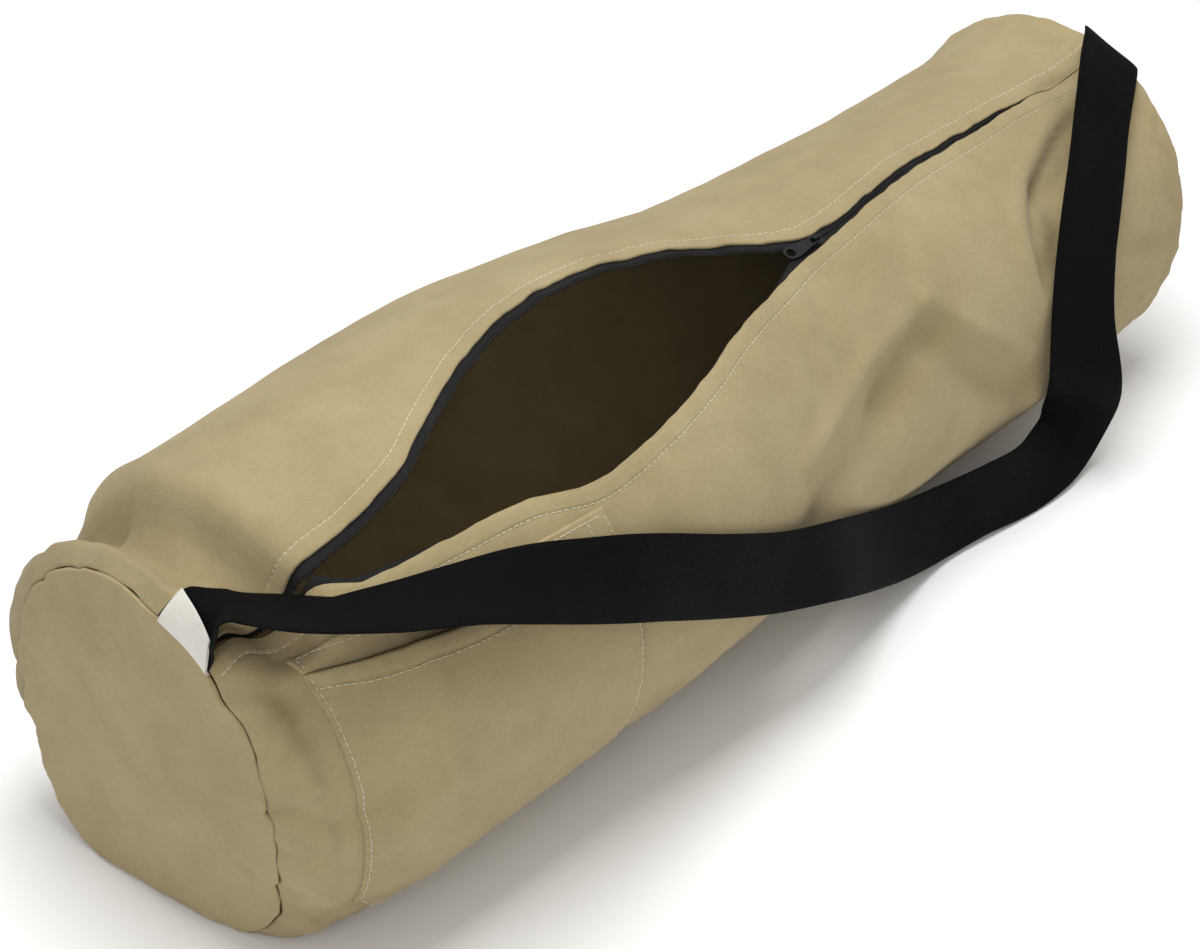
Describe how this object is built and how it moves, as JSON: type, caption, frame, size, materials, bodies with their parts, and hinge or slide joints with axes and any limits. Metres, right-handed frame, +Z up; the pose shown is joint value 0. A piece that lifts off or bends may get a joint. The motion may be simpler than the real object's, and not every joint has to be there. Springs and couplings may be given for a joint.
{
  "type": "yoga mat bag",
  "caption": "Soft cylindrical canvas bag lying on its side, long zip part open, patch pocket and a webbing strap from end to end.",
  "frame": {"origin": "on the floor under the middle of the bag", "axes": "+X along the bag, from the end with the pocket and the label tab to the other end; +Z up; the pocket and the strap are on the -Y side"},
  "size_m": [0.783, 0.286, 0.2533],
  "materials": {
    "canvas": "plain woven cotton canvas, matte khaki",
    "canvas_facing": "the same canvas, a little lighter",
    "zip_tape": "woven black tape",
    "zip_coil": "black nylon coil",
    "slider_metal": "black enamelled metal",
    "webbing": "black twill webbing",
    "label_cloth": "off-white woven tape"
  },
  "bodies": {
    "bag": {"body_panel": "canvas", "end_disc_near": "canvas", "end_disc_far": "canvas", "zip_tape_back": "zip_tape", "zip_tape_front": "zip_tape", "zip_coil_back": "zip_coil", "zip_coil_front": "zip_coil", "zip_slider": "slider_metal", "pocket_panel": "canvas", "pocket_facing": "canvas_facing", "strap": "webbing", "label_tab": "label_cloth"},
    "pull": {"zip_pull": "slider_metal"}
  },
  "joints": [
    {"name": "zip_pull_hinge", "type": "hinge", "parent": "bag", "child": "pull", "pos_m": [0.09889, -0.04669, 0.21083], "axis": [0.0115, 0.9622, 0.272], "range_deg": [0, 160]}
  ]
}
